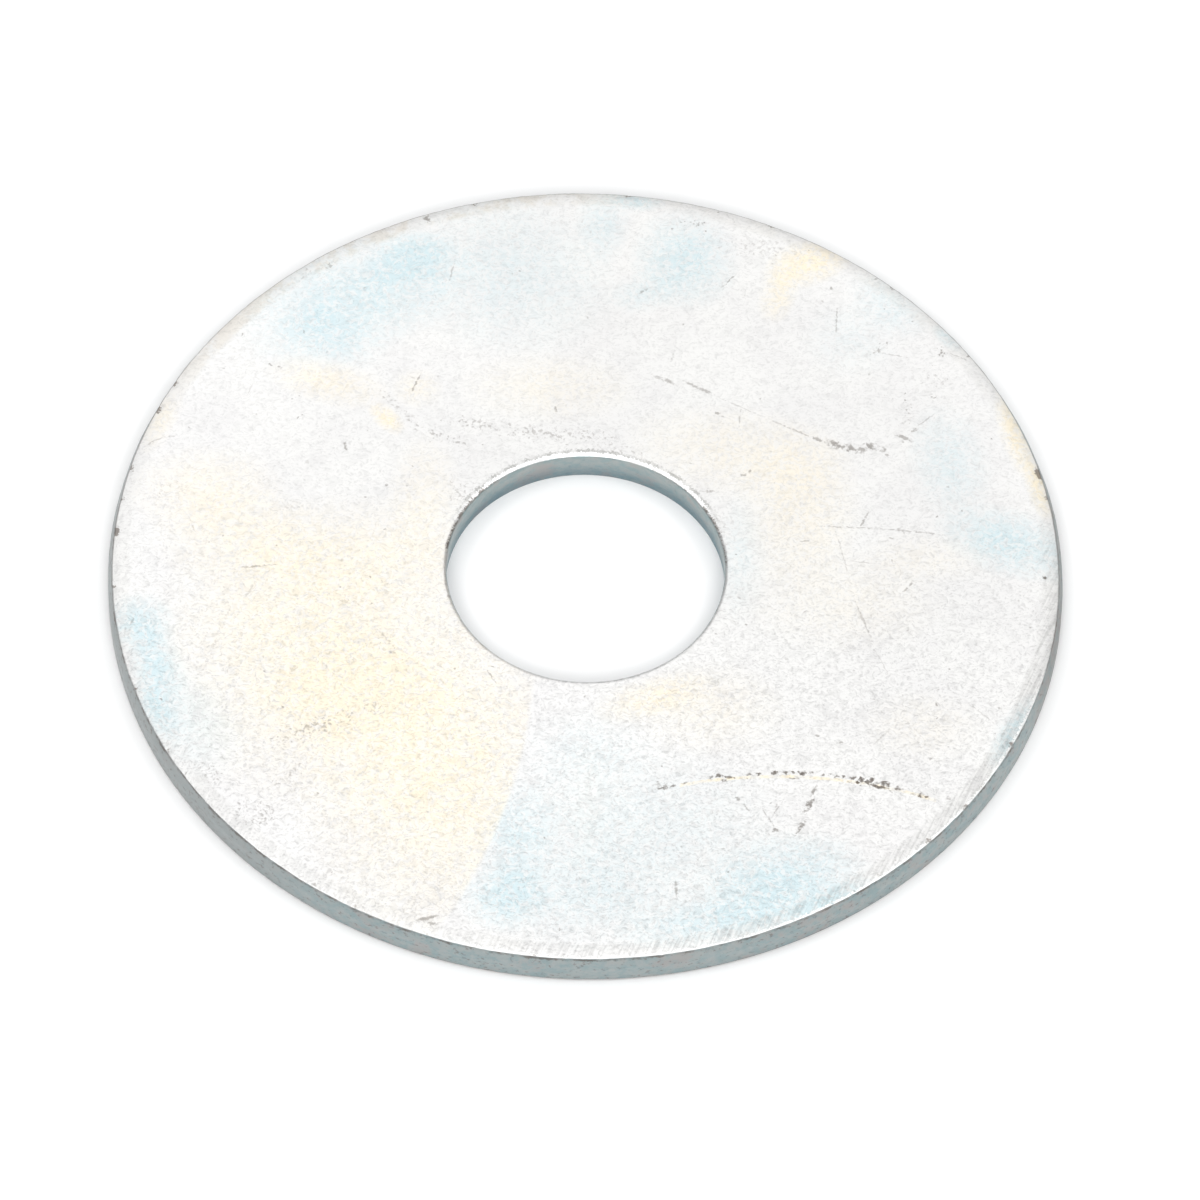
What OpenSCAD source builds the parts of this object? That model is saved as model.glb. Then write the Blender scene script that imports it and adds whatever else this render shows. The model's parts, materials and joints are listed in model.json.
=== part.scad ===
// Penny washer: one piece, stamped from zinc plated steel sheet.
// Millimetres. Z is the axis of the bore, and the underside lies on Z = 0.
//
// The bore was punched downwards, so its upper lip is rolled in and its lower part is torn
// and flares out. The disc was then blanked downwards, so its lower rim is rolled and the
// upper part of its outer edge is torn and leans in. The burr that was left around the top
// was brushed off, which wore a shallow bevel into the top face.

/* [Washer] */
// Outside diameter at its widest, on the sheared band of the outer edge
outer_d = 35; // [26:0.5:50]
// Diameter of the bore on its sheared band, which a bolt shank passes through
bore_d = 10.2; // [6:0.1:14]
// Thickness of the sheet
thickness = 1.25; // [1:0.05:2.5]

/* [Rolled lips] */
// How far the rolled lips reach across the faces
roll_w = 0.2; // [0.1:0.01:0.4]
// How far the rolled lips reach down the edges
roll_h = 0.12; // [0.05:0.01:0.2]

/* [Torn bands] */
// Part of the thickness that is torn, on the outer edge and in the bore
torn_share = 0.4; // [0.2:0.05:0.5]
// How far the outer edge leans in across its torn band
outer_lean = 0.14; // [0.02:0.01:0.2]
// How far the bore flares out across its torn band
bore_flare = 0.03; // [0.02:0.01:0.2]
// How far the two torn corners are worn back by tumbling
corner_wear = 0.02; // [0.01:0.01:0.05]

/* [Brushed bevel] */
// How far the bevel reaches across the top face
bevel_w = 0.56; // [0.3:0.02:0.8]
// How far the bevel drops below the top face
bevel_h = 0.065; // [0.02:0.005:0.12]

/* [Hidden] */

outer_r = outer_d / 2;
bore_r = bore_d / 2;
torn_h = thickness * torn_share;
rim_r = outer_r - outer_lean - corner_wear;
rim_z = thickness - bevel_h;
lip_steps = 8;
corner_steps = 3;
bevel_steps = 6;
round_fn = 180;

// Points on a quarter ellipse about centre, with half axes (a, b), from angle start to
// start + 90 degrees.
function quarter(centre, a, b, start, steps) =
    [for (i = [0 : steps])
        let (angle = start + 90 * i / steps)
        [centre[0] + a * cos(angle), centre[1] + b * sin(angle)]];

// Lower rim of the disc, from the underside out to the sheared band.
function outer_lip() = quarter([outer_r - roll_w, roll_h], roll_w, roll_h, 270, lip_steps);

// Upper rim of the disc, from the torn band in to the foot of the bevel.
function outer_corner() =
    quarter([rim_r, rim_z - corner_wear], corner_wear, corner_wear, 0, corner_steps);

// Bevel, from just inside its foot up to the top face, which it meets smoothly.
function bevel() =
    [for (i = [bevel_steps - 1 : -1 : 0])
        let (share = i / bevel_steps)
        [rim_r - bevel_w * (1 - share), thickness - bevel_h * share * share]];

// Upper rim of the bore, from the top face in to the sheared band.
function bore_lip() = quarter([bore_r + roll_w, thickness - roll_h], roll_w, roll_h, 90, lip_steps);

// Lower rim of the bore, from the torn band out to the underside.
function bore_corner() =
    quarter([bore_r + bore_flare + corner_wear, corner_wear],
            corner_wear, corner_wear, 180, corner_steps);

// Half of the washer's section, counterclockwise from the underside.
function section() = concat(
    outer_lip(),
    [[outer_r, thickness - torn_h]],
    outer_corner(),
    bevel(),
    bore_lip(),
    [[bore_r, torn_h]],
    bore_corner()
);

module washer() {
    color("gainsboro")
        rotate_extrude($fn = round_fn)
            polygon(section());
}

washer();
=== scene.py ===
"""Looks of a 35 mm penny washer: zinc plated sheet steel, stamped, tumbled and faintly stained.

The frame is in metres. Sizes and places on the washer are in millimetres, with the origin at the
centre of its underside, and are turned into metres where the mesh is made. Sizes of the floor, the
lights and the camera's distance are in metres.
"""
import json
import math

import bpy
import numpy as np
from mathutils import Matrix, Vector


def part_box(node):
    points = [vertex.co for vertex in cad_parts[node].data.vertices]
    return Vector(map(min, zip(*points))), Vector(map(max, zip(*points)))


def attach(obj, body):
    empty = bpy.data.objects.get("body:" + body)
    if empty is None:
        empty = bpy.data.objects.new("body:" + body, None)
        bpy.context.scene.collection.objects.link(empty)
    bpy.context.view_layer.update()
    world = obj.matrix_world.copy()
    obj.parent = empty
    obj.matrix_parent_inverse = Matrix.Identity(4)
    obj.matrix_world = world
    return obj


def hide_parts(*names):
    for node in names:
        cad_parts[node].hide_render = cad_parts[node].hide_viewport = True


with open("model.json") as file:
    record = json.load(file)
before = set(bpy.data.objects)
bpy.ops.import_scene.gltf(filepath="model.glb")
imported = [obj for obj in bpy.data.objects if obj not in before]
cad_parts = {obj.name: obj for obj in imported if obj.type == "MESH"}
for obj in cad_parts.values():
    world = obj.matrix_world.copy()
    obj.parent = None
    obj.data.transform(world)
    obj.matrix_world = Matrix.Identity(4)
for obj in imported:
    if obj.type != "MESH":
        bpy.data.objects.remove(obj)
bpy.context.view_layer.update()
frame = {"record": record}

MM = 0.001
# Seed of every random draw, all of them in washer_points
SEED = 11

# ---------------------------------------------------------------- sizes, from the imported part
LOW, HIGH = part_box("washer")
OUTER_R = (HIGH.x - LOW.x) / 2 / MM
THICKNESS = (HIGH.z - LOW.z) / MM
BORE = next(m for m in frame["record"]["mounts"] if m["name"] == "bore")
BORE_R = BORE["dims"]["r_mm"]

# The stamped section, as in the CAD part: rolled edges, torn bands and the bevel of the top face
ROLL_W = 0.20
ROLL_H = 0.12
TORN_SHARE = 0.4
TORN_H = THICKNESS * TORN_SHARE
OUTER_LEAN = 0.14
BORE_FLARE = 0.03
CORNER = 0.02
BEVEL_W = 0.56
BEVEL_H = 0.065
# The corner that rounds the top rim, and where the rim is
RIM_CORNER = 0.045
RIM_R = OUTER_R - OUTER_LEAN - RIM_CORNER
RIM_Z = THICKNESS - BEVEL_H
# The lowest height that still counts as the top face, with its edges
TOP_FROM = RIM_Z - 0.1

# The side on which the bevel shows brush strokes, as a direction
BRUSHED_SIDE = (0.3, -0.95, 0.0)

# Points around each ring of the mesh, rings on its flat faces, and the gaps in mm between those and
# the rings of the corners
AROUND = 880
UNDER_RINGS = 12
UNDER_GAP = 0.1
FACE_RINGS = 50
FACE_GAP_OUTER = 0.15
FACE_GAP_BORE = 0.12

# Unevenness of the mesh in mm: the line between the outer edge's two bands, the torn band's fine and
# coarse roughness, chips in the bore's lip, and the height, count and lengths of waves in the faces
BAND_WANDER = 0.05
TORN_FINE = 0.005
TORN_COARSE = 0.004
LIP_CHIPS = 0.01
SWELL = 0.0011
SWELL_WAVES = 22
SWELL_LENGTHS = (2.5, 9)
# A little over a full turn, in radians
ANY_PHASE = 6.3

# Nicks in the top rim: angle in degrees from +X, width and depth in mm
RIM_NICKS = [
    (171.3, 0.20, 0.05), (176.2, 0.40, 0.14), (166.5, 0.30, 0.07), (157.0, 0.40, 0.08),
    (152.5, 0.35, 0.07), (105.0, 0.25, 0.06), (67.5, 0.32, 0.055), (50.0, 0.30, 0.05),
    (16.2, 0.50, 0.13), (12.5, 0.30, 0.06), (-25.4, 0.22, 0.10), (-33.0, 0.30, 0.04),
    (-36.3, 0.35, 0.07), (-43.0, 0.30, 0.07), (-117.5, 0.22, 0.05), (74.4, 0.20, 0.05),
    (-150.0, 0.25, 0.06), (-160.0, 0.20, 0.05), (-175.4, 0.24, 0.06), (-58.0, 0.25, 0.04),
    (-95.0, 0.30, 0.03), (-108.0, 0.20, 0.04), (36.0, 0.22, 0.05), (85.9, 0.45, 0.05),
]
# Depth in mm at which a nick is fully dark, and the share of its depth that is cut into the mesh
NICK_DARK = 0.07
NICK_CUT = 0.12
# Nicks in the bore's upper lip. The wide ones paint a dark ragged line along its sides: partly chips,
# partly painted shade.
BORE_NICKS_AND_SHADE = [
    (139.0, 0.25, 0.06), (154.0, 0.30, 0.04), (33.0, 0.30, 0.04), (170.0, 0.30, 0.04),
    (-150.0, 0.25, 0.04), (62.0, 0.20, 0.03), (150.0, 2.0, 0.06), (166.0, 1.3, 0.055),
    (134.0, 0.9, 0.045), (24.0, 1.8, 0.055), (8.0, 1.0, 0.05), (44.0, 1.0, 0.04),
]


# ---------------------------------------------------------------- stains and marks on the top face
# Stains in the passivation: x, y, half length, half width in mm, angle in degrees, strength
BLUE_STAINS = [
    (-8.8, 12.1, 4.0, 2.2, 30, 0.75), (-6.8, 14.0, 1.5, 1.1, 20, 0.7),
    (-9.8, 10.3, 2.0, 1.2, -25, 0.4), (-3.2, 13.4, 3.6, 3.2, -20, 0.4),
    (0.3, 15.9, 0.9, 1.6, 0, 0.45), (3.4, 14.3, 1.7, 2.0, 10, 0.75), (1.9, 12.7, 1.2, 0.8, 20, 0.4),
    (1.5, 17.0, 1.0, 0.4, -5, 0.7), (11.0, 12.4, 1.6, 1.0, -45, 0.4), (9.6, 10.8, 1.6, 1.6, 0, 0.2),
    (13.2, 11.0, 0.7, 0.35, -50, 0.5), (13.3, 5.2, 1.3, 2.3, 10, 0.45),
    (15.5, 1.6, 2.4, 1.3, -22, 0.8), (5.7, 0.6, 0.8, 2.6, 0, 0.3), (-16.2, -3.0, 1.1, 1.2, 20, 0.8),
    (-15.5, -4.9, 0.9, 1.7, 15, 0.8), (-15.4, -6.8, 0.6, 1.3, 25, 0.7),
    (-14.2, -7.3, 1.5, 2.3, 30, 0.4), (-2.6, -14.8, 1.5, 1.3, 0, 0.75),
    (-2.2, -12.2, 1.2, 2.2, -10, 0.5), (7.3, -13.8, 2.8, 1.7, 20, 0.9),
    (5.0, -15.6, 3.2, 0.9, 12, 0.7), (9.2, -14.7, 1.6, 0.7, 32, 0.7),
    (1.8, -11.8, 5.0, 3.4, 0, 0.33), (0.3, -14.8, 3.4, 2.0, 0, 0.33),
    (0.2, -8.2, 2.2, 1.6, 0, 0.25), (15.7, -6.9, 0.5, 1.6, -25, 0.8),
]
STRAW_STAINS = [
    (-8.0, -5.2, 6.0, 5.6, 0, 0.6), (-8.3, -6.0, 3.6, 2.2, 12, 0.45),
    (-4.8, -10.6, 4.6, 5.2, 0, 0.65), (-11.0, -2.5, 4.0, 3.6, 0, 0.3),
    (-14.0, 3.0, 2.4, 1.8, 0, 0.45), (-12.6, 0.9, 2.8, 2.0, 0, 0.4), (-8.6, 0.4, 3.8, 2.2, 0, 0.4),
    (-9.7, 8.2, 2.0, 0.9, -15, 0.5), (-7.5, 6.6, 0.75, 0.4, -50, 1.0),
    (-6.4, 8.0, 0.8, 0.8, 0, 0.35), (-6.0, 2.6, 1.2, 2.8, 0, 0.35), (-1.5, 8.2, 2.8, 1.4, 0, 0.28),
    (8.0, 14.3, 1.5, 0.9, 25, 1.0), (6.9, 12.8, 0.6, 1.2, -10, 0.6),
    (15.7, 6.6, 0.45, 1.8, 14, 0.9), (16.6, 4.2, 0.4, 1.3, 12, 1.0),
    (5.6, 5.4, 3.6, 1.8, -10, 0.35), (7.8, 3.0, 1.9, 3.2, 0, 0.4), (2.6, -5.8, 2.0, 0.8, 20, 0.6),
    (4.6, -6.2, 2.4, 1.8, 0, 0.28), (9.4, -1.2, 3.2, 2.0, 0, 0.2), (12.4, -6.8, 2.0, 1.4, 0, 0.18),
    (12.4, 0.8, 2.0, 1.0, 0, 0.2), (-15.8, 6.2, 0.5, 1.4, -20, 0.4),
]
# Where the top face is made darker
DARKER_SPOTS = [
    (11.0, 1.0, 13.0, 17.0, 0, 1.0), (-2.0, 16.0, 11.0, 5.5, -5, 0.9),
    (0.0, -14.5, 9.0, 5.5, 0, 0.5), (-1.0, 6.0, 12.0, 8.0, 0, 0.8),
    (-12.0, -2.0, 8.0, 15.0, 0, 0.4),
]
# Where the straw stain ends in a clear water line: centre and radius of the arc, in mm
WATER_LINE = (-27.0, -4.0, 25.2)

# How dark each kind of mark is, and how far it breaks up into dots, from 0 to 1
SCRATCH_LOOK = (0.55, 0.0)
RUN_LOOK = (0.45, 1.0)
GOUGE_LOOK = (1.05, 0.2)
PIT_LOOK = (0.5, 0.5)
# How far around a mark the mesh's faces know of it, in mm
MARK_MARGIN = 0.22
# Half size of a mark in Z, in mm: so large that only X and Y count
ENDLESS = 1000
# Scratches: x, y, half length, half width in mm, angle in degrees, strength
SCRATCHES = [
    (2.75, 8.68, 0.52, 0.10, -25, 0.8), (4.05, 8.33, 0.80, 0.08, -27, 0.8),
    (5.6, 7.5, 1.2, 0.03, -27, 0.5), (7.4, 6.6, 1.1, 0.045, -27, 0.7),
    (11.6, 6.3, 0.45, 0.09, -25, 0.9), (12.4, 7.1, 0.6, 0.035, 43, 0.6),
    (9.7, 2.12, 1.2, 0.045, -1, 0.7), (11.9, 2.0, 1.3, 0.045, -5, 0.7),
    (10.15, 2.4, 0.6, 0.05, 67, 0.8), (8.1, 1.45, 0.35, 0.04, 8, 0.6),
    (10.1, 0.55, 0.55, 0.03, -5, 0.6), (9.4, 0.9, 1.2, 0.03, -76, 0.45),
    (10.2, -2.1, 1.2, 0.045, -70, 0.6), (10.9, -4.0, 0.8, 0.03, -65, 0.4),
    (11.8, -0.55, 0.36, 0.055, 55, 0.8), (-12.0, -0.33, 0.85, 0.05, 9, 0.85),
    (-12.3, -1.5, 0.6, 0.06, 65, 0.4), (-6.45, 8.25, 0.6, 0.045, 69, 0.9),
    (-8.97, 5.25, 0.28, 0.07, -75, 1.0), (-1.25, 7.2, 0.14, 0.07, -80, 0.9),
    (9.08, 11.65, 0.7, 0.04, 88, 0.65), (5.56, 7.1, 0.6, 0.035, 85, 0.6),
    (3.55, -14.3, 0.55, 0.06, -86, 0.85), (-5.4, -15.8, 0.46, 0.10, 20, 1.0),
    (-5.2, -16.03, 0.25, 0.08, 5, 0.9), (16.82, 0.05, 0.14, 0.08, -60, 1.6),
    (5.7, 4.4, 0.18, 0.07, 5, 0.9), (4.5, 3.6, 0.26, 0.08, 0, 0.9), (4.7, 7.2, 0.14, 0.07, 0, 0.9),
    (-3.35, -5.0, 0.52, 0.04, -58, 0.75), (5.0, 13.3, 0.40, 0.05, 50, 0.9),
    (11.2, 10.1, 0.6, 0.035, -10, 0.5), (8.3, -10.4, 0.42, 0.12, 66, 1.3),
    (8.0, -11.4, 0.40, 0.12, 62, 1.2), (7.1, -10.5, 0.38, 0.035, 78, 0.5),
    (5.7, -10.2, 0.18, 0.07, -45, 0.9), (-5.25, 13.5, 0.55, 0.05, 80, 0.6),
    (3.0, 9.7, 0.28, 0.06, 75, 0.5), (1.9, 12.8, 0.22, 0.07, 40, 0.8),
    (-16.5, -2.9, 0.28, 0.045, 70, 0.7), (-12.6, 7.7, 0.4, 0.035, 70, 0.4),
    (-14.45, 1.4, 0.4, 0.03, -70, 0.4), (14.6, -6.2, 0.85, 0.035, -42, 0.4),
    (8.42, 6.12, 0.26, 0.08, -20, 0.9), (9.05, 5.90, 0.40, 0.19, -20, 1.1),
    (9.65, 5.74, 0.44, 0.20, -10, 1.1), (10.0, 5.66, 0.32, 0.18, 10, 1.0),
    (10.45, 5.84, 0.38, 0.18, -12, 1.1), (10.85, 5.7, 0.16, 0.15, 0, 1.0),
    (11.0, 5.47, 0.10, 0.07, 0, 0.8), (12.0, 6.62, 0.14, 0.09, 30, 0.9),
    (8.45, -9.78, 0.30, 0.09, 66, 1.1), (6.05, -10.6, 0.32, 0.04, -50, 0.7),
    (6.85, -11.05, 0.5, 0.04, -60, 0.7), (7.15, -10.6, 0.4, 0.04, 62, 0.7),
    (7.1, -11.52, 0.14, 0.08, -40, 1.1), (-6.25, 15.93, 0.20, 0.17, 60, 1.1),
    (5.5, -2.3, 0.4, 0.035, -30, 0.45), (10.9, -7.3, 0.65, 0.035, 50, 0.4),
    (13.6, 10.1, 0.6, 0.03, -25, 0.6), (-16.22, 5.13, 0.28, 0.035, 39, 0.6),
    (-15.85, 5.36, 0.28, 0.035, 25, 0.6), (-15.44, 5.49, 0.28, 0.035, 11, 0.6),
]
# Runs of small pits, in the terms of the scratches
PIT_RUNS = [
    (10.3, -9.35, 0.9, 0.2, -8, 1.0), (-9.6, -7.5, 1.6, 0.36, 22, 0.9),
    (-7.55, -6.5, 0.6, 0.3, -20, 0.7), (-10.6, -9.6, 0.7, 0.18, 45, 0.8),
    (-7.15, -3.65, 0.85, 0.16, -58, 0.7), (-8.55, -1.8, 0.4, 0.2, -40, 0.6),
    (-5.35, 5.8, 1.0, 0.18, -24, 0.95), (-4.0, 6.4, 1.4, 0.26, -8, 0.85),
    (-1.5, 6.1, 2.5, 0.3, -3, 0.8), (-6.95, 6.95, 1.6, 0.15, -50, 0.75),
    (0.9, 5.5, 1.2, 0.16, -10, 0.6), (6.1, 15.0, 1.5, 0.4, -5, 0.5),
    (-13.3, -3.4, 1.7, 0.07, 72, 0.5), (12.9, 9.0, 0.6, 0.25, -30, 0.6),
    (-10.9, 2.45, 0.7, 0.2, 10, 0.5), (-15.3, 3.0, 0.6, 0.5, 0, 0.4),
    (11.8, 7.5, 0.7, 0.14, 78, 0.9), (-4.6, 3.3, 0.6, 0.3, 40, 0.7), (4.9, 1.9, 0.35, 0.7, 0, 0.4),
    (12.95, 10.3, 0.25, 0.2, 40, 1.3), (11.7, 8.1, 0.25, 0.15, 60, 1.2),
    (12.65, 8.2, 0.14, 0.12, 0, 1.2), (10.7, 10.4, 0.4, 0.12, 50, 1.0),
    (3.7, 16.0, 0.35, 0.18, 0, 1.2), (-10.7, 13.15, 0.35, 0.14, 48, 0.7),
    (-9.8, 13.6, 0.22, 0.12, 45, 0.8), (-11.6, -11.4, 0.8, 0.5, -20, 0.9),
    (-13.4, -9.6, 0.6, 0.3, -40, 0.8),
]
# The long gouge is an arc, worn to a straw colour: centre and radius, half width, and the X of its
# ends, in mm
GOUGE_ARC = (7.63, -25.16, 16.0)
GOUGE_HALF_W = 0.07
GOUGE_ENDS = (3.6, 12.9)
# Pits along the gouge, in the terms of the scratches
GOUGE_PITS = [
    (2.98, -9.77, 0.26, 0.12, 15, 0.8), (3.38, -9.7, 0.15, 0.07, 25, 0.9),
    (3.8, -9.56, 0.11, 0.05, 25, 0.8), (4.72, -9.27, 0.15, 0.09, 10, 0.9),
    (5.02, -9.2, 0.18, 0.12, -10, 1.0), (5.35, -9.26, 0.28, 0.07, 0, 0.9),
    (5.18, -9.39, 0.15, 0.08, -20, 1.0), (6.15, -9.3, 0.20, 0.07, -5, 0.9),
    (6.46, -9.07, 0.11, 0.09, 0, 1.0), (6.12, -9.11, 0.15, 0.05, 0, 0.8),
    (7.03, -9, 0.14, 0.11, 0, 1.0), (7.42, -8.99, 0.09, 0.08, 0, 1.0),
    (7.7, -9.24, 0.20, 0.05, 0, 0.7), (7.72, -8.97, 0.09, 0.07, 0, 1.0),
    (8.03, -8.98, 0.19, 0.12, 0, 1.0), (8.36, -8.99, 0.19, 0.11, 0, 1.0),
    (8.8, -9.05, 0.07, 0.05, 0, 0.8), (9.05, -9.02, 0.10, 0.09, 0, 1.0),
    (9.28, -9.09, 0.15, 0.08, 0, 1.0), (9.52, -9.1, 0.10, 0.09, 0, 1.0),
    (9.86, -9.16, 0.15, 0.11, 0, 1.0), (10.16, -9.22, 0.16, 0.16, 20, 1.0),
    (10.42, -9.33, 0.28, 0.14, -10, 1.0), (10.2, -9.44, 0.21, 0.09, 0, 1.0),
    (10.74, -9.44, 0.38, 0.12, -5, 1.0), (11.04, -9.38, 0.16, 0.20, 40, 1.0),
    (11.56, -9.6, 0.18, 0.14, -10, 1.0), (11.38, -9.7, 0.15, 0.08, 0, 0.9),
    (12.08, -9.75, 0.10, 0.08, 0, 1.0), (12.33, -9.82, 0.19, 0.12, 0, 1.0),
    (12.55, -9.89, 0.11, 0.08, 0, 0.9), (10.55, -9.22, 0.18, 0.13, 50, 1.0),
    (10.9, -9.52, 0.26, 0.11, 0, 1.0), (10.05, -9.33, 0.10, 0.08, 0, 1.0),
]
# Round pits: x, y, radius in mm
PITS = [
    (-0.6, -16.15, 0.10), (11.85, -6.65, 0.07), (12.7, -8.2, 0.06), (13.85, -8.7, 0.07),
    (7.4, -3.9, 0.06), (8.95, -14.1, 0.06), (15.2, -5.9, 0.08), (12.05, 6.75, 0.10),
    (-10.35, 4.5, 0.08), (2.85, -9.68, 0.13), (13.35, -9.97, 0.09), (5.65, 12.65, 0.09),
    (-8.6, -10.95, 0.07), (-7.6, -14.8, 0.08), (1.35, -10.2, 0.06), (10.8, -13.4, 0.09),
    (-11.5, 8.8, 0.08), (-5.0, 3.75, 0.07), (-7.4, 1.5, 0.05),
]


# ---------------------------------------------------------------- washer mesh
def quarter(centre_r, centre_z, a, b, start, steps):
    """Points on a quarter ellipse, counterclockwise from start degrees."""
    angles = [math.radians(start + 90 * i / steps) for i in range(steps + 1)]
    return [(centre_r + a * math.cos(t), centre_z + b * math.sin(t)) for t in angles]


def section():
    """Rings of the washer as (r, z), counterclockwise from the bore's lower corner.

    The last number of each quarter, and of each small linspace, says how finely that part is cut.
    """
    sheared_top = THICKNESS - TORN_H
    torn_top = RIM_Z - RIM_CORNER
    under = np.linspace(BORE_R + BORE_FLARE + UNDER_GAP, OUTER_R - ROLL_W - UNDER_GAP, UNDER_RINGS)
    lower_lip = quarter(OUTER_R - ROLL_W, ROLL_H, ROLL_W, ROLL_H, 270, 7)
    sheared = [(OUTER_R, z) for z in np.linspace(ROLL_H, sheared_top, 5)[1:]]
    torn = [
        (OUTER_R - OUTER_LEAN * share, sheared_top + (torn_top - sheared_top) * share)
        for share in np.linspace(0, 1, 8)[1:-1]
    ]
    corner = quarter(RIM_R, torn_top, RIM_CORNER, RIM_CORNER, 0, 5)
    bevel = [
        (RIM_R - BEVEL_W * share, THICKNESS - BEVEL_H * (1 - share) ** 2)
        for share in np.linspace(0, 1, 9)[1:]
    ]
    face = np.linspace(RIM_R - BEVEL_W - FACE_GAP_OUTER, BORE_R + ROLL_W + FACE_GAP_BORE, FACE_RINGS)
    lip = quarter(BORE_R + ROLL_W, THICKNESS - ROLL_H, ROLL_W, ROLL_H, 90, 8)
    bore = [(BORE_R, z) for z in np.linspace(THICKNESS - ROLL_H, TORN_H, 4)[1:]]
    bore_corner = quarter(BORE_R + BORE_FLARE + CORNER, CORNER, CORNER, CORNER, 180, 3)
    return (
        [(r, 0.0) for r in under] + lower_lip + sheared + torn + corner + bevel
        + [(r, THICKNESS) for r in face] + lip + bore + bore_corner
    )


def ripple(rng, angle, low, high, count):
    """A smooth random function of the angle, that closes on itself: waves of low to high turns."""
    waves = rng.integers(low, high, count)
    phases = rng.uniform(0, 2 * math.pi, count)
    total = sum(np.sin(angle * w + p) for w, p in zip(waves, phases))
    return total / math.sqrt(count)


def nick_depth(angle, nicks, radius):
    """How deep the nicks cut at each angle, in mm."""
    depth = np.zeros_like(angle)
    for degrees, width, cut in nicks:
        apart = np.angle(np.exp(1j * (angle - math.radians(degrees)))) * radius
        depth += cut * np.exp(-((apart / (width / 2)) ** 4))
    return depth


def near(r, z, at_r, at_z, reach):
    """1 at the point (at_r, at_z) of the section, falling off over reach."""
    return np.exp(-((r - at_r) ** 2 + (z - at_z) ** 2) / reach**2)


def washer_points():
    """Corner positions in mm, as an array of rings x AROUND x 3."""
    rng = np.random.default_rng(SEED)
    rings = np.array(section())
    angle = np.arange(AROUND) * 2 * math.pi / AROUND
    r = np.repeat(rings[:, :1], AROUND, axis=1)
    z = np.repeat(rings[:, 1:], AROUND, axis=1)

    # The line between the sheared and the torn band wanders up and down.
    on_outer_wall = (r > RIM_R) & (z > ROLL_H) & (z < RIM_Z - RIM_CORNER)
    wander = BAND_WANDER * ripple(rng, angle, 2, 40, 14)
    up_the_wall = np.clip((z - ROLL_H) / (RIM_Z - ROLL_H), 0, 1)
    z = z + on_outer_wall * wander * np.sin(up_the_wall * math.pi)

    # The torn band is ragged, and so is the rim above it.
    torn = np.clip((z - (THICKNESS - TORN_H)) / 0.1, 0, 1) * (r > RIM_R - 0.05)
    ragged = TORN_FINE * ripple(rng, angle, 30, 380, 40)
    ragged += TORN_COARSE * ripple(rng, angle, 8, 60, 16)
    r = r + torn * ragged

    # Nicks in both upper edges, and chips all round the bore's
    cut = nick_depth(angle, RIM_NICKS, OUTER_R)
    at_rim = near(r, z, RIM_R + RIM_CORNER, RIM_Z, 0.16)
    r = r - NICK_CUT * cut * at_rim
    z = z - NICK_CUT * cut * at_rim
    chips = LIP_CHIPS * np.abs(ripple(rng, angle, 20, 200, 30))
    cut = nick_depth(angle, BORE_NICKS_AND_SHADE, BORE_R) + chips
    at_lip = near(r, z, BORE_R + 0.03, THICKNESS - 0.06, 0.14)
    r = r + NICK_CUT * cut * at_lip
    z = z - NICK_CUT * cut * at_lip

    x = r * np.cos(angle)
    y = r * np.sin(angle)

    # The faces are not quite flat. The lowest points stay on the floor.
    swell = np.zeros_like(x)
    for _ in range(SWELL_WAVES):
        heading = rng.uniform(0, 2 * math.pi)
        turns = 2 * math.pi / rng.uniform(*SWELL_LENGTHS)
        phase = rng.uniform(0, ANY_PHASE)
        along = x * math.cos(heading) + y * math.sin(heading)
        swell += np.sin(along * turns + phase)
    z = z + SWELL * swell * np.clip(z / THICKNESS, 0, 1)
    return np.stack([x, y, z], axis=-1)


# Distance from a stain's centre, as a share of its half size, at which the stain ends
STAIN_END = 1.25


def in_spot(x, y, spot, margin=0.0):
    """Distance of the points from a spot's centre, as a share of its half sizes plus a margin."""
    spot_x, spot_y, half_length, half_width, degrees, _ = spot
    turn = math.radians(degrees)
    along = (x - spot_x) * math.cos(turn) + (y - spot_y) * math.sin(turn)
    across = (y - spot_y) * math.cos(turn) - (x - spot_x) * math.sin(turn)
    return np.hypot(along / (half_length + margin), across / (half_width + margin))


def on_top(points):
    """Which points are on the top face or on its edges."""
    return points[:, 2] > TOP_FROM


def stain(points, spots):
    """Strength of a stain at each point: full in the middle of its spots, fading to their edges."""
    total = np.zeros(len(points))
    for spot in spots:
        total += spot[-1] * np.clip(STAIN_END - in_spot(points[:, 0], points[:, 1], spot), 0, 1)
    return total * on_top(points)


def nearest_marks(points):
    """The spot that is nearest to each point, as rows of centre, turn, half sizes, strength, dots."""
    round_pits = [(x, y, size, size, 0, 1.0) for x, y, size in PITS]
    kinds = [
        (SCRATCHES, SCRATCH_LOOK), (PIT_RUNS, RUN_LOOK), (GOUGE_PITS, GOUGE_LOOK),
        (round_pits, PIT_LOOK),
    ]
    rows = np.tile([0.0, 0.0, 0.0, 1.0, 1.0, 0.0, 0.0], (len(points), 1))
    closest = np.ones(len(points))
    for spots, (darkness, dots) in kinds:
        for spot in spots:
            distance = in_spot(points[:, 0], points[:, 1], spot, MARK_MARGIN)
            closer = (distance < closest) & on_top(points)
            closest[closer] = distance[closer]
            turn = math.radians(spot[4])
            rows[closer] = (*spot[:2], turn, *spot[2:4], spot[5] * darkness, dots)
    return rows


def add_attribute(mesh, name, kind, domain, values):
    """Stores values on the mesh, where the material can read them by name."""
    attribute = mesh.attributes.new(name, kind, domain)
    field = "vector" if kind == "FLOAT_VECTOR" else "value"
    attribute.data.foreach_set(field, np.ascontiguousarray(values, dtype=np.float32).ravel())


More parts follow.
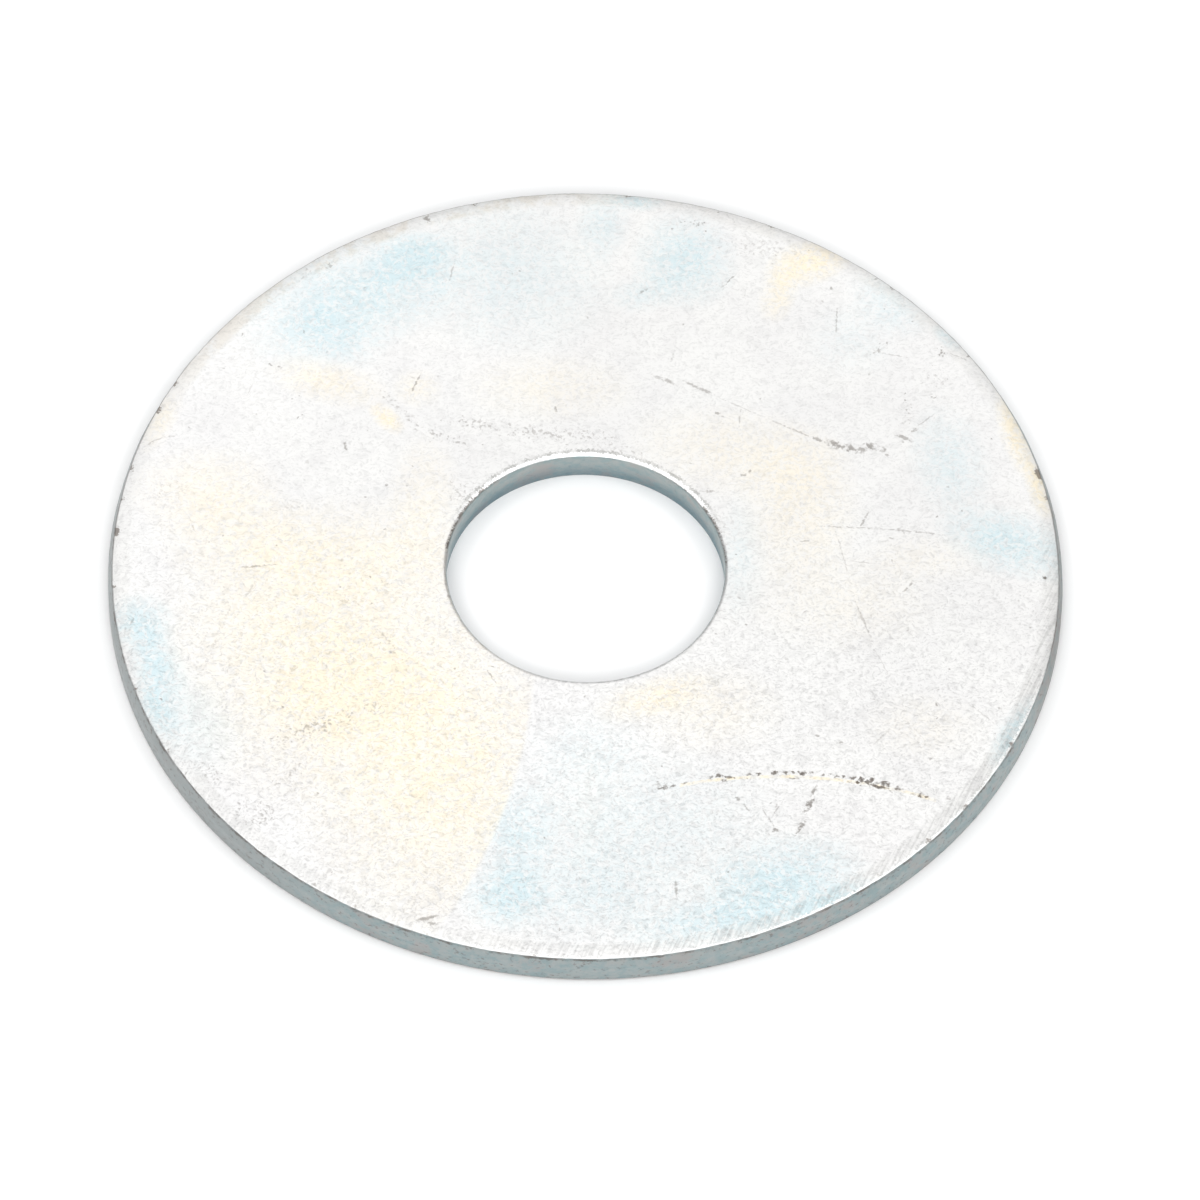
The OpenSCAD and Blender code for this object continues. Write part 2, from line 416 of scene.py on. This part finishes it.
def mark_washer(mesh, points, faces):
    """Stores stains, and nicks with the painted shade along the bore's lip, on the mesh's points, and
    the nearest mark on each of its faces.
    """
    flat = points.reshape(-1, 3)
    add_attribute(mesh, "blue", "FLOAT", "POINT", stain(flat, BLUE_STAINS))
    add_attribute(mesh, "straw", "FLOAT", "POINT", stain(flat, STRAW_STAINS))
    add_attribute(mesh, "darker_spot", "FLOAT", "POINT", np.clip(stain(flat, DARKER_SPOTS), 0, 1))
    angle = np.arctan2(flat[:, 1], flat[:, 0])
    r = np.hypot(flat[:, 0], flat[:, 1])
    at_rim = near(r, flat[:, 2], RIM_R - 0.02, RIM_Z - 0.03, 0.12)
    at_lip = near(r, flat[:, 2], BORE_R + 0.04, THICKNESS - 0.04, 0.1)
    nicks = nick_depth(angle, RIM_NICKS, OUTER_R) * at_rim
    # The bore's wide nicks are partly painted shade along its lip
    nicks += nick_depth(angle, BORE_NICKS_AND_SHADE, BORE_R) * at_lip
    add_attribute(mesh, "nick_and_shade", "FLOAT", "POINT", nicks / NICK_DARK)

    rows = nearest_marks(flat[faces].mean(axis=1))
    nothing = np.zeros(len(rows))
    centre = np.stack([rows[:, 0], rows[:, 1], nothing], axis=-1)
    turn = np.stack([nothing, nothing, rows[:, 2]], axis=-1)
    size = np.stack([rows[:, 3], rows[:, 4], nothing + ENDLESS], axis=-1)
    add_attribute(mesh, "mark_centre", "FLOAT_VECTOR", "FACE", centre)
    add_attribute(mesh, "mark_turn", "FLOAT_VECTOR", "FACE", turn)
    add_attribute(mesh, "mark_size", "FLOAT_VECTOR", "FACE", size)
    add_attribute(mesh, "mark_strength", "FLOAT", "FACE", rows[:, 5])
    add_attribute(mesh, "mark_dots", "FLOAT", "FACE", rows[:, 6])


def build_washer():
    """The washer's piece: a closed mesh of rings, joined all the way round its section."""
    points = washer_points()
    rings = len(points)
    corners = np.arange(rings * AROUND).reshape(rings, AROUND)
    next_ring = np.roll(corners, -1, axis=0)
    faces = np.stack(
        [corners, np.roll(corners, -1, axis=1), np.roll(next_ring, -1, axis=1), next_ring], axis=-1
    ).reshape(-1, 4)
    mesh = bpy.data.meshes.new("washer_plated")
    mesh.from_pydata((points.reshape(-1, 3) * MM).tolist(), [], faces.tolist())
    mesh.update()
    mesh.shade_smooth()
    mark_washer(mesh, points, faces)
    washer = bpy.data.objects.new("washer_plated", mesh)
    bpy.context.scene.collection.objects.link(washer)
    return washer


# ---------------------------------------------------------------- material nodes
class Graph:
    """Adds nodes to a node tree. An input is a number, a colour, a vector or another node's output."""

    def __init__(self, tree):
        self.tree = tree

    def add(self, kind, inputs, output=0, **settings):
        """A new node's output. Inputs and the output go by name or number."""
        node = self.tree.nodes.new(kind)
        for name, setting in settings.items():
            setattr(node, name, setting)
        for name, value in inputs.items():
            if isinstance(value, bpy.types.NodeSocket):
                self.tree.links.new(value, node.inputs[name])
            else:
                node.inputs[name].default_value = value
        return node.outputs[output]

    def math(self, operation, *values, clamp=False):
        return self.add(
            "ShaderNodeMath", dict(enumerate(values)), operation=operation, use_clamp=clamp
        )

    def product(self, value, *others):
        """All the values multiplied."""
        for other in others:
            value = self.math("MULTIPLY", value, other)
        return value

    def inverse(self, value):
        """1 minus the value."""
        return self.math("SUBTRACT", 1.0, value)

    def vector(self, operation, *values, output=0):
        return self.add("ShaderNodeVectorMath", dict(enumerate(values)), output, operation=operation)

    def parts(self, vector):
        """The X, Y and Z of the vector."""
        node = self.tree.nodes.new("ShaderNodeSeparateXYZ")
        self.tree.links.new(vector, node.inputs[0])
        return node.outputs

    def attribute(self, name, output="Fac"):
        return self.add("ShaderNodeAttribute", {}, output, attribute_name=name)

    def turn(self, vector, degrees):
        """The vector in axes that are turned by degrees about Z."""
        inputs = {"Vector": vector, "Angle": -math.radians(degrees)}
        return self.add("ShaderNodeVectorRotate", inputs, rotation_type="Z_AXIS")

    def step(self, value, low, high, start=0.0, end=1.0):
        """Smooth step from start, at low, to end, at high."""
        inputs = {"Value": value, "From Min": low, "From Max": high, "To Min": start, "To Max": end}
        return self.add("ShaderNodeMapRange", inputs, interpolation_type="SMOOTHSTEP", clamp=False)

    def noise(self, vector, scale, detail, roughness, output="Fac"):
        """Fractal noise around 0.5. The scale is in turns per mm, and detail counts finer layers."""
        inputs = {"Vector": vector, "Scale": scale, "Detail": detail, "Roughness": roughness}
        return self.add("ShaderNodeTexNoise", inputs, output)

    def mix(self, amount, below, above, blend="MIX"):
        """The colour above laid over the one below. The node's colours are its sockets 6, 7 and 2."""
        inputs = {0: amount, 6: below, 7: above}
        return self.add("ShaderNodeMix", inputs, 2, data_type="RGBA", blend_type=blend)


def rgb(red, green, blue):
    return (red, green, blue, 1.0)


# Colours of the top face. A shade multiplies what is below it.
ZINC_DIM = rgb(0.85, 0.843, 0.84)
ZINC_BRIGHT = rgb(0.885, 0.88, 0.87)
BLUE_STAIN = rgb(0.66, 0.785, 0.822)
STRAW_STAIN = rgb(0.95, 0.867, 0.705)
# Painted shade on the sloping bevel
BEVEL_PAINTED_SHADE = rgb(0.965, 0.965, 0.96)
BEIGE_SHADE = rgb(0.93, 0.90, 0.86)
DARKER_TONE = rgb(0.925, 0.925, 0.92)
# Painted shade in a band behind the bore's far lip, and a painted highlight on that lip
LIP_BAND_PAINTED_SHADE = rgb(0.62, 0.62, 0.61)
LIP_PAINTED_HIGHLIGHT = rgb(0.97, 0.97, 0.965)
# Painted shade: a thin dark line along the far rim
FAR_RIM_PAINTED_SHADE = rgb(0.25, 0.24, 0.23)
# A painted glint along the front rim
FRONT_RIM_PAINTED_GLINT = rgb(0.99, 0.99, 0.98)
MARK = rgb(0.145, 0.115, 0.09)
# Nicks, and in part painted shade along the bore's lip
NICK_AND_SHADE = rgb(0.19, 0.155, 0.13)
# Colours of the walls, kept dark partly as painted shade
WALL_TEAL = rgb(0.35, 0.43, 0.44)
WALL_GREY = rgb(0.445, 0.475, 0.468)
WALL_BROWN = rgb(0.44, 0.415, 0.405)
WALL_LEFT = rgb(0.42, 0.435, 0.43)
WALL_RIGHT = rgb(0.22, 0.195, 0.18)
WALL_SPECK = rgb(0.21, 0.18, 0.165)
OUTER_SHADE = rgb(0.955, 0.965, 0.975)
BORE_SHADE = rgb(0.56, 0.68, 0.75)
# Dark lines on the outer wall: painted shade at its foot, and under its rim partly a brown torn edge
# and partly painted shadow
EDGE_LINE_AND_SHADE = rgb(0.15, 0.125, 0.11)

# Roughness of the face, of its marks, and what a wall adds. Height of the grain, in metres.
FACE_ROUGH = 0.36
MARK_ROUGH = 0.7
WALL_ROUGH = 0.15
GRAIN_HEIGHT = 0.00003
# The way the brush strokes run on the bevel, in degrees from +X, and how much they are drawn out
STROKE_TURN = 68
STROKE_STRETCH = (0.5, 9.0, 1)
# How much the walls' noises are squeezed in Z
WALL_SQUEEZE = 1.7
# How far marks are moved about to make them ragged, in mm, and how fully they cover the plating
MARK_WOBBLE = 0.12
MARK_COVER = 0.85


class Surface(Graph):
    """The washer's surface: places in mm, parts of it as 0 to 1, and noises that layers share."""

    def __init__(self, tree):
        super().__init__(tree)
        coordinates = tree.nodes.new("ShaderNodeTexCoord")
        self.place = self.vector("MULTIPLY", coordinates.outputs["Object"], (1 / MM, 1 / MM, 1 / MM))
        self.x, self.y, self.z = self.parts(self.place)
        flat_place = self.vector("MULTIPLY", self.place, (1, 1, 0))
        self.radius = self.vector("LENGTH", flat_place, output=1)
        self.wall_place = self.vector("MULTIPLY", self.place, (1, 1, WALL_SQUEEZE))

        # Parts of the surface
        upright = self.parts(coordinates.outputs["Normal"])[2]
        self.wall = self.step(self.math("ABSOLUTE", upright), 0.85, 0.5)
        self.top = self.step(upright, 0.5, 0.85)
        self.outer = self.step(self.radius, RIM_R - 0.1, RIM_R)
        bevel_start = RIM_R - BEVEL_W
        on_bevel = self.step(self.radius, bevel_start - 0.12, bevel_start + 0.12)
        self.bevel = self.product(on_bevel, self.top)
        side = self.vector("DOT_PRODUCT", self.place, BRUSHED_SIDE, output=1)
        on_side = self.step(self.math("DIVIDE", side, self.radius), 0.0, 0.5)
        self.brushed = self.product(on_side, self.bevel)
        self.in_front = self.step(self.y, -4.5, -5.5)
        # The grain is coarser in the half towards the camera.
        self.coarse = self.step(self.y, 6.0, -6.0, 0.5, 0.85)

        # Noises, and places that noises move a little
        warp = self.noise(self.place, 2.2, 2, 0.5, "Color")
        self.warped = self.vector("MULTIPLY_ADD", warp, (0.5, 0.5, 0.5), self.place)
        self.peel = self.noise(self.warped, 3.6, 3, 0.55)
        stroke_place = self.vector("MULTIPLY", self.turn(self.place, STROKE_TURN), STROKE_STRETCH)
        self.strokes = self.noise(stroke_place, 1.0, 3, 0.6)
        self.speckle = self.math("SUBTRACT", self.noise(self.place, 8.0, 2, 0.6), 0.5)
        self.crumbs = self.math("SUBTRACT", self.noise(self.place, 13.0, 2, 0.6), 0.5)
        wobble = self.noise(self.place, 7.0, 2, 0.5, "Color")
        moved = self.vector("MULTIPLY_ADD", wobble, (MARK_WOBBLE, MARK_WOBBLE, 0), self.place)
        centring = (MARK_WOBBLE / 2, MARK_WOBBLE / 2, 0)
        self.mark_place = self.vector("SUBTRACT", moved, centring)


def relief(s):
    """Height: worm-like orange peel about 0.2 mm across, strokes on the bevel, coarser on walls."""
    fine = s.noise(s.place, 11.0, 3, 0.6)
    grain = s.math("MULTIPLY_ADD", fine, 0.35, s.peel)
    grain = s.product(grain, s.coarse, s.inverse(s.brushed))
    strokes = s.product(s.strokes, s.brushed, 0.5)
    on_faces = s.product(s.math("ADD", grain, strokes), s.inverse(s.wall))
    on_walls = s.product(s.noise(s.wall_place, 2.0, 4, 0.65), s.wall)
    return s.math("ADD", on_faces, on_walls)


def uneven_stain(s, name, offset, swing):
    """A stain's strength from the mesh, times an uneven factor of 1 plus or minus half the swing."""
    drift = s.noise(s.vector("ADD", s.place, offset), 0.9, 4, 0.65)
    drift = s.math("SUBTRACT", drift, 0.5)
    return s.product(s.attribute(name), s.math("MULTIPLY_ADD", drift, swing, 1.0))


def straw_in_gouge(s):
    """Strength of the straw colour along the gouge, patchy, and only between its ends."""
    from_centre = s.vector("DISTANCE", s.mark_place, (*GOUGE_ARC[:2], THICKNESS), output=1)
    from_arc = s.math("ABSOLUTE", s.math("SUBTRACT", from_centre, GOUGE_ARC[2]))
    across = s.step(from_arc, GOUGE_HALF_W * 1.3, GOUGE_HALF_W * 0.6)
    middle = sum(GOUGE_ENDS) / 2
    between_ends = s.math("COMPARE", s.x, middle, GOUGE_ENDS[1] - middle)
    patchy = s.step(s.noise(s.place, 2.6, 3, 0.65), 0.38, 0.6, 0.15, 1.0)
    return s.product(across, between_ends, s.in_front, s.top, patchy)


def stain_strengths(s):
    """Strengths of the blue and of the straw stain, which ends at the water line in front."""
    from_centre = s.vector("DISTANCE", s.place, (*WATER_LINE[:2], THICKNESS), output=1)
    past_line = s.step(from_centre, WATER_LINE[2] - 0.1, WATER_LINE[2] + 0.15)
    washed = s.product(past_line, s.in_front, s.step(s.x, 1.0, -0.5))
    mottled = s.step(s.noise(s.warped, 4.5, 3, 0.65), 0.38, 0.57, 0.42, 1.12)
    mottled = s.product(mottled, s.top)
    blue = uneven_stain(s, "blue", (0, 0, 0), 1.2)
    blue = s.math("MULTIPLY", blue, mottled, clamp=True)
    straw = uneven_stain(s, "straw", (31, 7, 0), 1.0)
    straw = s.product(straw, s.inverse(washed), mottled)
    straw = s.math("ADD", straw, straw_in_gouge(s), clamp=True)
    return blue, straw


def mark_strength(s):
    """Strength of the scratches, pits and loose flecks on the top face."""
    mark_axes = {
        "Vector": s.mark_place, "Location": s.attribute("mark_centre", "Vector"),
        "Rotation": s.attribute("mark_turn", "Vector"), "Scale": s.attribute("mark_size", "Vector"),
    }
    in_mark = s.add("ShaderNodeMapping", mark_axes, vector_type="TEXTURE")
    dots = s.attribute("mark_dots")
    ragged = s.product(s.speckle, s.math("MULTIPLY_ADD", dots, 3.0, 2.0))
    from_mark = s.math("ADD", s.vector("LENGTH", in_mark, output=1), ragged)

    # Scratches are broken in places. Runs of pits are dotted.
    broken = s.step(s.noise(s.place, 4.5, 2, 0.6), 0.34, 0.50)
    dotted = s.step(s.noise(s.place, 7.0, 1, 0.5), 0.5, 0.64)
    whole = s.math("MULTIPLY_ADD", dots, s.math("SUBTRACT", dotted, broken), broken)
    marks = s.product(s.step(from_mark, 1.1, 0.4), s.attribute("mark_strength"), whole)

    flecks = s.add("ShaderNodeTexVoronoi", {"Vector": s.warped, "Scale": 1.6}, "Distance")
    fleck_here = s.step(s.noise(s.place, 0.8, 3, 0.6), 0.46, 0.6)
    flecks = s.product(s.step(flecks, 0.11, 0.05), fleck_here)
    return s.math("MULTIPLY", s.math("MULTIPLY_ADD", flecks, 0.5, marks), s.top, clamp=True)


def plating_colour(s):
    """Colour of the faces: cloudy zinc, stains, painted shade on the bevel, the bevel's strokes,
    darker spots, fine grain and painted shade in its hollows.
    """
    blue, straw = stain_strengths(s)
    clouds = s.step(s.noise(s.place, 0.35, 3, 0.6), 0.35, 0.65)
    colour = s.mix(clouds, ZINC_DIM, ZINC_BRIGHT)
    colour = s.mix(blue, colour, BLUE_STAIN)
    colour = s.mix(straw, colour, STRAW_STAIN)
    # Painted shade on the sloping bevel
    colour = s.mix(s.bevel, colour, BEVEL_PAINTED_SHADE, "MULTIPLY")

    # Beige patches at the far left of the bevel
    far_left = s.product(s.step(s.y, 6.0, 11.0), s.step(s.x, 2.0, -3.0, 0.15, 1.0))
    patches = s.step(s.noise(s.place, 0.7, 4, 0.7), 0.44, 0.56)
    colour = s.mix(s.product(s.bevel, far_left, patches), colour, BEIGE_SHADE, "MULTIPLY")

    # The strokes are darker towards the right.
    darkest = s.step(s.x, -6.0, 4.0, 0.91, 0.81)
    stroke_shade = s.step(s.strokes, 0.36, 0.6, darkest, 1.0)
    colour = s.mix(s.brushed, colour, stroke_shade, "MULTIPLY")
    colour = s.mix(s.attribute("darker_spot"), colour, DARKER_TONE, "MULTIPLY")

    # Painted shade in the hollows of the orange peel
    hollow_painted_shade = s.step(s.peel, 0.36, 0.52, 0.9, 1.0)
    colour = s.mix(s.coarse, colour, hollow_painted_shade, "MULTIPLY")
    grain_place = s.vector("MULTIPLY", s.warped, (0.75, 1.1, 1))
    grain_shade = s.step(s.noise(grain_place, 9.0, 3, 0.65), 0.30, 0.54, 0.76, 1.02)
    return s.mix(s.coarse, colour, grain_shade, "MULTIPLY")


def add_painted_edge_light(s, colour):
    """Painted light on edges: a painted highlight on the bore's far lip, painted shade behind it and
    on the far rim, a painted glint on the front rim.
    """
    ragged_r = s.math("MULTIPLY_ADD", s.crumbs, 0.35, s.radius)
    far_side = s.product(s.step(s.y, 1.5, 3.5), s.top)
    patches = s.step(s.noise(s.place, 3.0, 2, 0.6), 0.38, 0.58, 0.3, 1.0)
    # Painted shade in a ragged band behind the bore's far lip
    behind_lip_painted_shade = s.step(ragged_r, BORE_R + 0.33, BORE_R + 0.24)
    colour = s.mix(s.product(behind_lip_painted_shade, far_side, patches), colour, LIP_BAND_PAINTED_SHADE, "MULTIPLY")
    # A painted highlight on the bore's far lip
    lip = s.step(ragged_r, BORE_R + 0.19, BORE_R + 0.13)
    colour = s.mix(s.product(lip, far_side), colour, LIP_PAINTED_HIGHLIGHT)

    # Painted shade: a thin dark line along the far rim
    far_rim_painted_shade = s.step(s.radius, RIM_R - 0.02, RIM_R + 0.02)
    far_rim_painted_shade = s.product(far_rim_painted_shade, s.step(s.y, -2.0, 2.0, 0.0, 0.5))
    colour = s.mix(far_rim_painted_shade, colour, FAR_RIM_PAINTED_SHADE)
    # A painted glint along the front rim
    front_rim_painted_glint = s.step(ragged_r, RIM_R - 0.05, RIM_R - 0.02)
    front = s.product(s.step(s.y, -3.0, -7.0, 0.0, 0.8), s.step(s.x, -7.0, -2.0), s.top)
    return s.mix(s.product(front_rim_painted_glint, front), colour, FRONT_RIM_PAINTED_GLINT)


def wall_colour_and_shade(s):
    """Colour of both walls: teal grey, with brown blotches and specks, darker low in the bore. Part of
    their darkness is painted shade.
    """
    mottle = s.step(s.noise(s.wall_place, 2.2, 4, 0.7), 0.36, 0.62)
    colour = s.mix(mottle, WALL_TEAL, WALL_GREY)
    blotches = s.step(s.noise(s.wall_place, 0.55, 4, 0.7), 0.52, 0.66, 0.0, 0.7)
    colour = s.mix(blotches, colour, WALL_BROWN)
    colour = s.mix(s.step(s.x, -8.0, -13.0, 0.0, 0.8), colour, WALL_LEFT)
    colour = s.mix(s.step(s.x, 16.0, 17.3, 0.0, 0.4), colour, WALL_RIGHT)
    colour = s.mix(s.outer, colour, OUTER_SHADE, "MULTIPLY")
    specks = s.step(s.noise(s.wall_place, 4.5, 3, 0.65), 0.56, 0.68, 0.0, 0.6)
    specks = s.product(specks, s.math("MULTIPLY_ADD", s.outer, 0.7, 0.3))
    colour = s.mix(specks, colour, WALL_SPECK)
    low_in_bore = s.product(s.step(s.z, 0.95, 0.15), s.inverse(s.outer))
    beside_middle = s.step(s.math("ABSOLUTE", s.x), 1.5, 4.0, 0.75, 1.0)
    return s.mix(s.product(low_in_bore, beside_middle), colour, BORE_SHADE, "MULTIPLY")


def edge_lines_and_shade(s):
    """Strength of the dark lines on the outer wall: painted shade at its foot, where the rolled lip
    turns under, and, in patches under its rim, a line that is partly the brown torn edge and partly
    painted shadow.
    """
    painted_foot_shade = s.step(s.math("MULTIPLY_ADD", s.speckle, 0.12, s.z), 0.16, 0.04, 0.0, 0.5)
    above = s.step(s.math("MULTIPLY_ADD", s.speckle, 0.15, s.z), RIM_Z - 0.14, RIM_Z - 0.09)
    below = s.step(s.z, RIM_Z - 0.015, RIM_Z - 0.045)
    patches = s.step(s.noise(s.place, 1.6, 4, 0.65), 0.40, 0.62, 0.12, 0.75)
    return s.product(s.math("MAXIMUM", painted_foot_shade, s.product(above, below, patches)), s.outer)


def zinc_plate():
    """Bright zinc over stamped steel: orange peel faces, stains, scratches and pits, walls kept dark
    partly as painted shade, and painted highlights and shade on the edges.
    """
    material = bpy.data.materials.new("zinc_plate")
    material.use_nodes = True
    tree = material.node_tree
    s = Surface(tree)

    marks = mark_strength(s)
    # Nicks in both rims, and partly painted shade along the bore's lip
    nick_and_shade = s.math("MULTIPLY_ADD", s.crumbs, 2.4, s.attribute("nick_and_shade"))
    nick_and_shade = s.step(nick_and_shade, 0.42, 0.95, 0.0, 0.75)
    colour = add_painted_edge_light(s, plating_colour(s))
    colour = s.mix(s.product(marks, MARK_COVER), colour, MARK)
    colour = s.mix(nick_and_shade, colour, NICK_AND_SHADE)
    # The walls' colour, kept dark partly as painted shade
    colour = s.mix(s.wall, colour, wall_colour_and_shade(s))
    # Painted shade at the wall's foot, and the partly painted dark line under its rim
    colour = s.mix(edge_lines_and_shade(s), colour, EDGE_LINE_AND_SHADE)

    roughness = s.step(marks, 0.0, 1.0, FACE_ROUGH, MARK_ROUGH)
    roughness = s.math("MULTIPLY_ADD", s.wall, WALL_ROUGH, roughness)
    bump = s.add(
        "ShaderNodeBump", {"Strength": 1.0, "Distance": GRAIN_HEIGHT, "Height": relief(s)}
    )
    shader = tree.nodes["Principled BSDF"]
    tree.links.new(colour, shader.inputs["Base Color"])
    tree.links.new(roughness, shader.inputs["Roughness"])
    tree.links.new(bump, shader.inputs["Normal"])
    shader.inputs["Metallic"].default_value = 1.0
    return material


# ---------------------------------------------------------------- floor, lights and camera
# Half width of the floor, and how far below the washer it lies, in metres
FLOOR_HALF = 3.0
FLOOR_DROP = 0.00001
PAPER = rgb(0.95, 0.95, 0.95)
PAPER_ROUGH = 0.9
PAPER_SPECULAR = 0.1
# Soft boxes: name, azimuth and elevation in degrees, width and height in metres, radiance
BOX_DISTANCE = 1.3
SOFT_BOXES = [
    ("back_box", 93, 53, 1.4, 1.3, 0.82),
    ("overhead_box", -90, 84, 1.2, 0.8, 0.95),
    ("left_box", 185, 56, 0.4, 0.4, 3.9),
    ("right_box", -5, 56, 0.4, 0.4, 3.9),
    ("front_box", -90, 43, 0.8, 0.35, 8.5),
]
SKY = rgb(0.99, 0.995, 1.0)
SKY_STRENGTH = 0.42
# The camera: angles in degrees, distance in metres, the point it looks at, lens and sensor in mm
CAMERA_AZIMUTH = -90
CAMERA_ELEVATION = 53.96
CAMERA_ROLL = 1.53
CAMERA_DISTANCE = 0.5106
CAMERA_TARGET = Vector((0.552, -0.555, 0.0))
FOCAL_LENGTH = 417.2
SENSOR_WIDTH = 36
CLIP_START = 0.01


def lay_floor():
    """A sheet of white paper, just below the washer."""
    half = FLOOR_HALF
    corners = [(-half, -half), (half, -half), (half, half), (-half, half)]
    mesh = bpy.data.meshes.new("floor")
    mesh.from_pydata([(x, y, -FLOOR_DROP) for x, y in corners], [], [(0, 1, 2, 3)])
    floor = bpy.data.objects.new("floor", mesh)
    bpy.context.scene.collection.objects.link(floor)
    paper = bpy.data.materials.new("white_paper")
    paper.use_nodes = True
    shader = paper.node_tree.nodes["Principled BSDF"]
    shader.inputs["Base Color"].default_value = PAPER
    shader.inputs["Roughness"].default_value = PAPER_ROUGH
    shader.inputs["Specular IOR Level"].default_value = PAPER_SPECULAR
    mesh.materials.append(paper)


def direction(azimuth, elevation):
    """Unit vector. Azimuth is in degrees from +X towards +Y, elevation up from the floor."""
    a = math.radians(azimuth)
    e = math.radians(elevation)
    return Vector((math.cos(a) * math.cos(e), math.sin(a) * math.cos(e), math.sin(e)))


def add_soft_box(name, azimuth, elevation, width, height, radiance):
    """A rectangular light that faces the washer. Its power follows from its brightness."""
    light = bpy.data.lights.new(name, "AREA")
    light.shape = "RECTANGLE"
    light.size = width
    light.size_y = height
    light.energy = radiance * math.pi * width * height
    box = bpy.data.objects.new(name, light)
    outwards = direction(azimuth, elevation)
    box.location = outwards * BOX_DISTANCE
    box.rotation_euler = outwards.to_track_quat("Z", "Y").to_euler()
    box.visible_camera = False
    bpy.context.scene.collection.objects.link(box)


def light_the_set():
    """Soft boxes all round, and a pale sky."""
    for box in SOFT_BOXES:
        add_soft_box(*box)
    world = bpy.data.worlds.new("studio")
    world.use_nodes = True
    background = world.node_tree.nodes["Background"]
    background.inputs["Color"].default_value = SKY
    background.inputs["Strength"].default_value = SKY_STRENGTH
    bpy.context.scene.world = world


def place_camera():
    """Looks down at 54 degrees through a long lens, rolled a little."""
    standpoint = direction(CAMERA_AZIMUTH, CAMERA_ELEVATION) * CAMERA_DISTANCE
    forward = (CAMERA_TARGET * MM - standpoint).normalized()
    right = forward.cross(Vector((0, 0, 1))).normalized()
    up = right.cross(forward)
    roll = math.radians(CAMERA_ROLL)
    right, up = (
        right * math.cos(roll) + up * math.sin(roll),
        up * math.cos(roll) - right * math.sin(roll),
    )
    lens = bpy.data.cameras.new("camera")
    lens.sensor_width = SENSOR_WIDTH
    lens.lens = FOCAL_LENGTH
    lens.clip_start = CLIP_START
    camera = bpy.data.objects.new("camera", lens)
    turned = Matrix((right, up, -forward)).transposed().to_4x4()
    camera.matrix_world = Matrix.Translation(standpoint) @ turned
    bpy.context.scene.collection.objects.link(camera)
    bpy.context.scene.camera = camera


# ---------------------------------------------------------------- the scene
bpy.context.scene.view_settings.view_transform = "Standard"
place_camera()
lay_floor()
light_the_set()
washer = build_washer()
washer.data.materials.append(zinc_plate())
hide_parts("washer")
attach(washer, "root")
